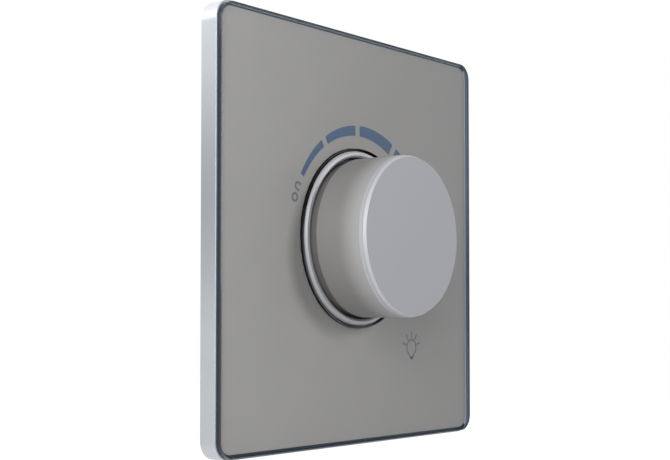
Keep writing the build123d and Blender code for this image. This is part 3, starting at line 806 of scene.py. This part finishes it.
def ribbon(
    name: str,
    first: Sequence[Pair],
    second: Sequence[Pair],
    rear: float,
    front: float,
    closed: bool = False,
) -> bpy.types.Object:
    """Closed flat solid between two lines drawn in the front view.

    Args:
        name: Name of the new piece.
        first: Points of one side, as (across, up) in millimetres.
        second: As many points of the other side.
        rear: Place of its rear along Y, in millimetres.
        front: Place of its front along Y, in millimetres.
        closed: Whether the last points join the first.

    Returns:
        The new mesh object.
    """
    count = len(first)
    rows = [
        [(x * MM, y * MM, z * MM) for x, z in line]
        for y, line in ((front, first), (front, second), (rear, second), (rear, first))
    ]
    points = [point for row in rows for point in row]
    faces = []
    for i in range(count if closed else count - 1):
        j = (i + 1) % count
        for row in range(4):
            after = (row + 1) % 4
            faces.append((row * count + i, row * count + j, after * count + j, after * count + i))
    if not closed:
        faces.append(tuple(row * count for row in range(4)))
        faces.append(tuple(row * count + count - 1 for row in reversed(range(4))))
    mesh = bpy.data.meshes.new(name)
    mesh.from_pydata(points, [], faces)
    mesh.validate()
    made = bpy.data.objects.new(name, mesh)
    bpy.context.scene.collection.objects.link(made)
    face_outwards(made)
    return made


def face_outwards(piece: bpy.types.Object) -> None:
    """Turns a closed mesh's faces outwards."""
    bpy.context.view_layer.objects.active = piece
    piece.select_set(True)
    bpy.ops.object.mode_set(mode="EDIT")
    bpy.ops.mesh.select_all(action="SELECT")
    bpy.ops.mesh.normals_make_consistent(inside=False)
    bpy.ops.object.mode_set(mode="OBJECT")
    piece.select_set(False)


def around(centre: Pair, radius: float, start: float, end: float, step: float = 6.0) -> list[Pair]:
    """Points along an arc.

    Args:
        centre: Its centre, in millimetres.
        radius: Its radius, in millimetres.
        start: First angle, in degrees from the right, positive upwards.
        end: Last angle.
        step: Largest turn between two points.

    Returns:
        The points, both ends included.
    """
    count = max(2, math.ceil(abs(end - start) / step))
    angles = [math.radians(start + (end - start) * i / count) for i in range(count + 1)]
    return [(centre[0] + radius * math.cos(a), centre[1] + radius * math.sin(a)) for a in angles]


def offset_line(
    line: Sequence[Pair], width: float, closed: bool = False
) -> tuple[list[Pair], list[Pair]]:
    """Both sides of a pen stroke.

    Args:
        line: Middle of the stroke, in millimetres.
        width: Width of the pen, in millimetres.
        closed: Whether the stroke joins its own start.

    Returns:
        The points of its left side and of its right side.
    """
    left, right = [], []
    last = len(line) - 1
    for i, (x, z) in enumerate(line):
        before = line[(i - 1) % len(line)] if closed else line[max(i - 1, 0)]
        after = line[(i + 1) % len(line)] if closed else line[min(i + 1, last)]
        run = Vector((after[0] - before[0], after[1] - before[1])).normalized() * width / 2
        left.append((x - run.y, z + run.x))
        right.append((x + run.y, z - run.x))
    return left, right


def join(name: str, pieces: Iterable[bpy.types.Object]) -> bpy.types.Object:
    """Joins meshes into one piece.

    Args:
        name: Name of the joined piece.
        pieces: The meshes.

    Returns:
        The joined piece.
    """
    members = list(pieces)
    bpy.ops.object.select_all(action="DESELECT")
    for member in members:
        member.select_set(True)
    bpy.context.view_layer.objects.active = members[0]
    bpy.ops.object.join()
    members[0].name = name
    members[0].select_set(False)
    return members[0]


@dataclass
class SubAssembly:
    """Group of pieces that are dressed together.

    Attributes:
        body: Body that its new pieces ride on.
        finishes: Finish of each solid, by node name.
        made: Names of the pieces that it has finished.
    """

    body: str = "base"
    finishes: dict[str, Finish] = field(default_factory=dict)
    made: list[str] = field(default_factory=list)

    def dress(self) -> None:
        """Gives every solid of the group its finish."""
        for node, finish in self.finishes.items():
            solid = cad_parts[node]
            material = finish.material()
            if not solid.material_slots:
                solid.data.materials.append(material)
            for material_slot in solid.material_slots:
                material_slot.material = material
            self.made.append(node)

    def add(self, piece: bpy.types.Object, finish: Finish, slot: str) -> None:
        """Finishes a new piece and lets it ride on the group's body.

        Args:
            piece: The new mesh.
            finish: Its finish.
            slot: Name of a material slot for the piece; not used.
        """
        piece.data.materials.clear()
        piece.data.materials.append(finish.material())
        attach(piece, self.body)
        self.made.append(piece.name)

    def build(self) -> None:
        """Dresses the group's solids; a group that adds pieces builds them in its own build."""
        self.dress()


@dataclass
class FrontPanel(SubAssembly):
    """Clear panel with the coating, the margin and the print on its rear face.

    Attributes:
        corner: Corner radius of the panel, in millimetres.
        hole: Radius of the panel's hole.
        corner_step: Turn between two points of a corner, in degrees.
        edge_parts: Number of parts of a straight edge.
        edge_gap: Distance from the panel's edge to the margin's backing.
        margin: Width of the uncoated margin.
        hole_margin: Uncoated width round the hole.
        film: Thickness of the coating.
        gap: Distance from the panel's rear face to the coating.
        ink: Thickness of the print.
        scale_start: Angle of the scale's narrow end, in degrees from the right.
        scale_spans: Angles that its segments cover, clockwise.
        scale_gap: Angle between two segments.
        scale_inner: Inner radius at the narrow end.
        scale_outer: Outer radius at the narrow end.
        inner_growth: Growth of the inner radius for each degree.
        outer_growth: Growth of the outer radius for each degree.
        word_angle: Middle angle of the two letters.
        word_radius: Radius of their middle.
        letter_height: Height of a letter.
        letter_pitch: Distance between the middles of the letters.
        letter_pen: Width of the letters' strokes.
        arch_share: Width of the second letter, as a share of the first one's.
        lamp_place: Middle of the lamp sign's bulb.
        lamp_radius: Radius of the bulb's round top.
        lamp_ends: Angles where that round top ends, in degrees.
        lamp_drop: Distance from that middle to the tip.
        tip_radius: Radius of the tip.
        tip_ends: Angles where the tip's arc ends, in degrees.
        lamp_pen: Width of the sign's strokes.
        ray_inner: Distance from the middle to a ray's near end.
        ray_outer: Distance to its far end.
        ray_angles: Directions of the rays, in degrees.
    """

    corner: float = 3.45
    hole: float = 18.75
    corner_step: float = 7.5
    edge_parts: int = 12
    edge_gap: float = 0.03
    margin: float = 0.75
    hole_margin: float = 0.15
    film: float = 0.02
    gap: float = 0.01
    ink: float = 0.015
    scale_start: float = 147.0
    scale_spans: tuple[float, ...] = (25.3, 26.3, 29.0, 32.0, 35.0)
    scale_gap: float = 3.7
    scale_inner: float = 21.17
    scale_outer: float = 22.28
    inner_growth: float = 0.0072
    outer_growth: float = 0.0262
    word_angle: float = 157.2
    word_radius: float = 21.8
    letter_height: float = 2.0
    letter_pitch: float = 2.45
    letter_pen: float = 0.48
    arch_share: float = 0.9
    lamp_place: Pair = (19.82, -23.2)
    lamp_radius: float = 1.75
    lamp_ends: Pair = (-25.0, 205.0)
    lamp_drop: float = 2.42
    tip_radius: float = 0.45
    tip_ends: Pair = (200.0, 340.0)
    lamp_pen: float = 0.38
    ray_inner: float = 2.15
    ray_outer: float = 3.5
    ray_angles: tuple[float, ...] = (18.0, 55.0, 90.0, 125.0, 162.0)
    finishes: dict[str, Finish] = field(
        default_factory=lambda: {"glass_panel": CLEAR_PANEL, "panel_adhesive": FOAM_TAPE}
    )

    def rounded_square(self, half: float, corner: float) -> list[Pair]:
        """Outline of a square with round corners.

        Args:
            half: Half its width, in millimetres.
            corner: Its corner radius.

        Returns:
            Points round the outline.
        """
        inner = half - corner
        points: list[Pair] = []
        for start, (x, z) in zip((0, 90, 180, 270), ((1, 1), (-1, 1), (-1, -1), (1, -1))):
            points += around((x * inner, z * inner), corner, start, start + 90, self.corner_step)
            edge = Vector(points[-1])
            after = Vector(around((-z * inner, x * inner), corner, start + 90, start + 180)[0])
            points += [
                tuple(edge.lerp(after, part / self.edge_parts))
                for part in range(1, self.edge_parts)
            ]
        return points

    def towards(self, outline: Sequence[Pair], radius: float) -> list[Pair]:
        """Points at a radius in the directions of an outline's points."""
        lengths = [math.hypot(*point) for point in outline]
        return [(x * radius / r, z * radius / r) for (x, z), r in zip(outline, lengths)]

    def coating(self, half: float, rear: float) -> None:
        """Grey coating and the clear margin's backing.

        Args:
            half: Half the panel's width.
            rear: Place of the coating's rear along Y.
        """
        edge = self.rounded_square(half - self.edge_gap, self.corner - self.edge_gap)
        field_edge = self.rounded_square(half - self.margin, self.corner - self.margin)
        inner = self.towards(field_edge, self.hole + self.hole_margin)
        coat = ribbon("panel_coating", inner, field_edge, rear, rear - self.film, closed=True)
        rim = ribbon("panel_margin", field_edge, edge, rear, rear - self.film, closed=True)
        self.add(coat, COATING, "panel_backing")
        self.add(rim, MARGIN, "panel_backing")

    def scale(self, rear: float) -> None:
        """Segments that widen clockwise.

        Args:
            rear: Place of the print's rear along Y.
        """
        segments = []
        start = self.scale_start
        for number, span in enumerate(self.scale_spans):
            count = math.ceil(span)
            angles = [start - span * i / count for i in range(count + 1)]
            inner, outer = [], []
            for angle in angles:
                travelled = self.scale_start - angle
                direction = (math.cos(math.radians(angle)), math.sin(math.radians(angle)))
                low = self.scale_inner + self.inner_growth * travelled
                high = self.scale_outer + self.outer_growth * travelled
                inner.append((low * direction[0], low * direction[1]))
                outer.append((high * direction[0], high * direction[1]))
            segments.append(ribbon(f"segment_{number}", inner, outer, rear, rear - self.ink))
            start -= span + self.scale_gap
        self.add(join("scale_print", segments), BLUE_INK, "panel_backing")

    def letters(self, rear: float) -> None:
        """The word that marks the switched-on end.

        Args:
            rear: Place of the print's rear along Y.
        """
        half = (self.letter_height - self.letter_pen) / 2
        width = half * self.arch_share
        half_pitch = math.degrees(self.letter_pitch / 2 / self.word_radius)
        ring = around((0, 0), half, 0, 360, step=12)[:-1]
        bow = around((0, half - width), width, 180, 0, step=15)
        arch = [(-width, -half), (-width, half - width), *bow, (width, -half)]
        strokes = []
        for angle, line, closed in (
            (self.word_angle + half_pitch, ring, True),
            (self.word_angle - half_pitch, arch, False),
        ):
            turn = math.radians(angle - 90)
            centre = (
                self.word_radius * math.cos(math.radians(angle)),
                self.word_radius * math.sin(math.radians(angle)),
            )
            placed = [
                (
                    centre[0] + x * math.cos(turn) - z * math.sin(turn),
                    centre[1] + x * math.sin(turn) + z * math.cos(turn),
                )
                for x, z in line
            ]
            sides = offset_line(placed, self.letter_pen, closed)
            strokes.append(ribbon("letter", *sides, rear, rear - self.ink, closed))
        self.add(join("on_print", strokes), THIN_INK, "panel_backing")

    def lamp_sign(self, rear: float) -> None:
        """Sign of a bulb with five rays.

        Args:
            rear: Place of the print's rear along Y.
        """
        x, z = self.lamp_place
        front = rear - self.ink
        tip_middle = (x, z - self.lamp_drop + self.tip_radius)
        dome = around(self.lamp_place, self.lamp_radius, *self.lamp_ends, step=10)
        tip = around(tip_middle, self.tip_radius, *self.tip_ends, step=20)
        bulb = offset_line(dome + tip, self.lamp_pen, closed=True)
        strokes = [ribbon("bulb", *bulb, rear, front, closed=True)]
        cap = around(tip_middle, self.tip_radius, 180, 360, step=15)
        cap_top = [(point[0], tip_middle[1]) for point in cap]
        strokes.append(ribbon("bulb_tip", cap, cap_top, rear, front))
        for angle in self.ray_angles:
            turn = math.radians(angle)
            line = [
                (x + math.cos(turn) * radius, z + math.sin(turn) * radius)
                for radius in (self.ray_inner, self.ray_outer)
            ]
            strokes.append(ribbon("ray", *offset_line(line, self.lamp_pen), rear, front))
        self.add(join("lamp_print", strokes), THIN_INK, "panel_backing")

    def build(self) -> None:
        """Dresses the panel and adds what is on its rear face."""
        rear = PANEL_HIGH.y - self.gap
        self.coating((PANEL_HIGH.x - PANEL_LOW.x) / 2, rear)
        print_rear = rear - self.film
        self.scale(print_rear)
        self.letters(print_rear)
        self.lamp_sign(print_rear)
        self.dress()


@dataclass
class SilverFrame(SubAssembly):
    """Frame and the bright ring round the knob."""

    finishes: dict[str, Finish] = field(
        default_factory=lambda: {"trim_frame": SATIN_SILVER, "bezel_ring": BRIGHT_RING}
    )


@dataclass
class Knob(SubAssembly):
    """Knob with its moulded core, spring and shaft."""

    body: str = "knob"
    finishes: dict[str, Finish] = field(
        default_factory=lambda: {
            "knob_cap": KNOB_METAL,
            "knob_insert": GREY_MOULDING,
            "grip_spring": SPRING_STEEL,
            "control_shaft": TURNED_BRASS,
            "shaft_circlip": SPRING_STEEL,
            "wiper_rotor": DARK_MOULDING,
            "wiper_contact": TURNED_BRASS,
            "switch_cam": DARK_MOULDING,
        }
    )


@dataclass
class MountingGroup(SubAssembly):
    """Carrier, steel plate and what clamps the shaft's bearing to it."""

    finishes: dict[str, Finish] = field(
        default_factory=lambda: {
            "carrier_plate": DARK_MOULDING,
            "mounting_plate": ZINC_PLATE,
            "threaded_bushing": TURNED_BRASS,
            "bushing_nut": ZINC_PLATE,
            "lock_washer": ZINC_PLATE,
            "housing_screws": ZINC_PLATE,
        }
    )


@dataclass
class ControlGroup(SubAssembly):
    """Potentiometer and the on/off switch behind it."""

    finishes: dict[str, Finish] = field(
        default_factory=lambda: {
            "potentiometer_can": ZINC_PLATE,
            "potentiometer_wafer": LACQUER,
            "potentiometer_pins": SPRING_STEEL,
            "switch_housing": DARK_MOULDING,
            "switch_contacts": TURNED_BRASS,
        }
    )


@dataclass
class CircuitGroup(SubAssembly):
    """Circuit board with its parts, and the heat sink."""

    finishes: dict[str, Finish] = field(
        default_factory=lambda: {
            "circuit_board": LAMINATE,
            "choke_core": FERRITE,
            "choke_winding": COPPER_WIRE,
            "film_capacitor": CAPACITOR_BOX,
            "timing_capacitor": CAPACITOR_BOX,
            "resistors": LACQUER,
            "diac": LACQUER,
            "fuse_tube": TUBE_GLASS,
            "fuse_end_caps": ZINC_PLATE,
            "heat_sink": SINK_METAL,
            "triac_body": DARK_MOULDING,
            "triac_legs": SPRING_STEEL,
            "triac_screw": ZINC_PLATE,
        }
    )


@dataclass
class RearHousing(SubAssembly):
    """Rear housing and the terminals in it."""

    finishes: dict[str, Finish] = field(
        default_factory=lambda: {
            "rear_housing": HOUSING_MOULDING,
            "terminal_block": DARK_MOULDING,
            "terminal_cages": TURNED_BRASS,
            "terminal_screws": ZINC_PLATE,
        }
    )


@dataclass(frozen=True)
class SoftBox:
    """Rectangular studio lamp that points at the object.

    Attributes:
        name: Name of the lamp.
        place: Its middle, in metres.
        size: Its width and height, in metres.
        power: Its power, in watts.
        aim: Point it is turned to, in metres.
    """

    name: str
    place: Triple
    size: Pair
    power: float
    aim: Triple = (0.0, 0.0, 0.0)

    def build(self) -> None:
        """Adds the lamp to the scene."""
        lamp = bpy.data.lights.new(self.name, "AREA")
        lamp.shape = "RECTANGLE"
        lamp.size, lamp.size_y = self.size
        lamp.energy = self.power
        holder = bpy.data.objects.new(self.name, lamp)
        holder.location = self.place
        direction = Vector(self.aim) - Vector(self.place)
        holder.rotation_euler = direction.to_track_quat("-Z", "Y").to_euler()
        bpy.context.scene.collection.objects.link(holder)


@dataclass
class Studio:
    """Camera, floor, sky and lamps.

    Attributes:
        picture_width: Width of the photograph, in pixels.
        focal_pixels: Focal length, in pixels of the photograph.
        camera_place: Place of the camera, in millimetres.
        heading: Camera's turn to the right of +Y, in degrees.
        pitch: Camera's tilt upwards, in degrees.
        rise: Vertical shift, as a share of the picture's width.
        sensor: Width of the sensor, in millimetres.
        near_limit: Distance before which the camera sees nothing, in metres.
        floor_level: Height of the floor, in metres.
        floor_size: Width of the floor, in metres.
        floor_grey: Share of light that the floor gives back.
        floor_glow: How bright the floor looks, with 1 for white.
        sky_level: Strength of the light from all sides.
    """

    picture_width: float = 670.0
    focal_pixels: float = 1308.2
    camera_place: Triple = (-218.85, -168.78, -16.1)
    heading: float = 52.045
    pitch: float = 2.272
    rise: float = 0.05
    sensor: float = 36.0
    near_limit: float = 0.01
    floor_level: float = -0.32
    floor_size: float = 8.0
    floor_grey: float = 0.88
    floor_glow: float = 0.95
    sky_level: float = 0.13
    lamps: tuple[SoftBox, ...] = (
        SoftBox("high_lamp", (0.33, -0.88, 0.24), (0.18, 0.2), 4.3),
        SoftBox("left_lamp", (-0.36, -0.24, 0.12), (0.25, 0.25), 1.6),
        SoftBox("rear_lamp", (-0.42, 0.36, 0.25), (0.3, 0.2), 0.3),
    )

    def camera(self) -> None:
        """Adds the camera at the photograph's place and angle."""
        lens = bpy.data.cameras.new("camera")
        lens.sensor_fit = "HORIZONTAL"
        lens.sensor_width = self.sensor
        lens.lens = self.focal_pixels / self.picture_width * self.sensor
        lens.shift_y = self.rise
        lens.clip_start = self.near_limit
        holder = bpy.data.objects.new("camera", lens)
        holder.location = Vector(self.camera_place) * MM
        holder.rotation_euler = (math.radians(90 + self.pitch), 0, math.radians(-self.heading))
        bpy.context.scene.collection.objects.link(holder)
        bpy.context.scene.camera = holder

    def looked_at(self, shader: Shader) -> Wire:
        """Mask that is 1 for what the eye sees, also in reflections and through glass.

        Args:
            shader: The shader that is being built.

        Returns:
            The mask, which is 0 for light that falls on the object.
        """
        rays = shader.node("ShaderNodeLightPath")
        camera, glossy, clear = (
            Wire(shader, rays.outputs[name])
            for name in ("Is Camera Ray", "Is Glossy Ray", "Is Transmission Ray")
        )
        return camera.larger(glossy).larger(clear)

    def floor(self) -> None:
        """Adds a pale floor that shows white and keeps the object's shadow."""
        half = self.floor_size / 2
        signs = ((-1, -1), (1, -1), (1, 1), (-1, 1))
        corners = [(x * half, y * half, self.floor_level) for x, y in signs]
        mesh = bpy.data.meshes.new("floor")
        mesh.from_pydata(corners, [], [(0, 1, 2, 3)])
        plane = bpy.data.objects.new("floor", mesh)
        bpy.context.scene.collection.objects.link(plane)
        made = bpy.data.materials.new("pale_floor")
        made.use_nodes = True
        shader = Shader(made.node_tree)
        shown = self.looked_at(shader)
        values = {
            "Base Color": (self.floor_grey,) * 3,
            "Roughness": 0.9,
            "Specular IOR Level": 0.0,
            "Emission Color": shader.blend(shown, (0.0,) * 3, (self.floor_glow,) * 3),
            "Emission Strength": 1.0,
        }
        surface = shader.wire("ShaderNodeBsdfPrincipled", values=values)
        shader.node("ShaderNodeOutputMaterial", values={"Surface": surface})
        mesh.materials.append(made)

    def sky(self) -> None:
        """Sets an even light from all sides that shows white to the eye and in reflections."""
        world = bpy.data.worlds.new("studio")
        world.use_nodes = True
        bpy.context.scene.world = world
        shader = Shader(world.node_tree)
        colour = shader.blend(self.looked_at(shader), (self.sky_level,) * 3, (1.0,) * 3)
        light = shader.wire("ShaderNodeBackground", values={"Color": colour, "Strength": 1.0})
        shader.node("ShaderNodeOutputWorld", values={"Surface": light})

    def build(self) -> None:
        """Sets up the whole studio."""
        self.camera()
        self.floor()
        self.sky()
        for lamp in self.lamps:
            lamp.build()
        bpy.context.scene.view_settings.view_transform = "Standard"


def main() -> None:
    """Builds the studio and every group in order, and reports each piece."""
    logging.basicConfig(level=logging.INFO, format="%(message)s")
    Studio().build()
    groups: tuple[SubAssembly, ...] = (
        FrontPanel(),
        SilverFrame(),
        Knob(),
        MountingGroup(),
        ControlGroup(),
        CircuitGroup(),
        RearHousing(),
    )
    for group in groups:
        group.build()
        for piece in group.made:
            log.info("%s: %s", type(group).__name__, piece)


if __name__ == "__main__":
    main()
